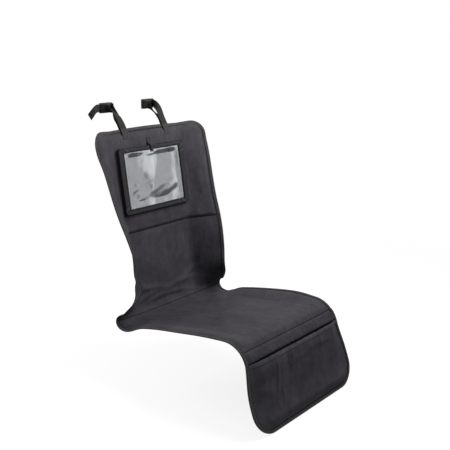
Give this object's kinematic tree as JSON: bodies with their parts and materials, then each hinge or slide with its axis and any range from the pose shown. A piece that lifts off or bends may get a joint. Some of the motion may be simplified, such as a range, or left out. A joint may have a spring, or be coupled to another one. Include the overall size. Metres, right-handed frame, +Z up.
{
  "type": "car seat protector",
  "caption": "Padded protector for a car's back seat, with a clear tablet pocket on its back panel, a flap pocket at the front and webbing loops for headrest posts.",
  "frame": {"origin": "on the underside of the seat panel, at the middle of its flat part", "axes": "+X across the seat, +Z up, -Y towards the front of the seat"},
  "size_m": [0.4902, 0.8252, 0.8471],
  "materials": {
    "black_polyester": "matt woven polyester",
    "grip_backing": "matt backing with small rubber dots",
    "foam": "matt foam sheet",
    "binding_tape": "ribbed tape",
    "webbing": "woven webbing",
    "clear_film": "glossy clear film",
    "hook_tape": "hook and loop tape",
    "buckle_plastic": "satin moulded plastic"
  },
  "bodies": {
    "root": {"upper_back_face": "black_polyester", "upper_back_foam": "foam", "upper_back_lining": "grip_backing", "lower_back_panel": "black_polyester", "seat_face": "black_polyester", "seat_foam": "foam", "seat_grip_backing": "grip_backing", "front_flap": "black_polyester", "upper_back_binding": "binding_tape", "flap_binding": "binding_tape", "side_binding_left": "binding_tape", "side_binding_right": "binding_tape", "front_pocket": "black_polyester", "front_pocket_hem": "black_polyester", "front_hem_band": "black_polyester", "tablet_pocket_frame": "black_polyester", "tablet_window": "clear_film", "tablet_pocket_gusset": "black_polyester", "pocket_tab": "black_polyester", "tab_patch": "hook_tape", "strap_left": "webbing", "strap_right": "webbing", "strap_return_left": "webbing", "strap_return_right": "webbing", "strap_tail_left": "webbing", "strap_tail_right": "webbing", "buckle_socket_left": "buckle_plastic", "buckle_socket_right": "buckle_plastic", "buckle_plug_left": "buckle_plastic", "buckle_plug_right": "buckle_plastic"}
  },
  "joints": []
}
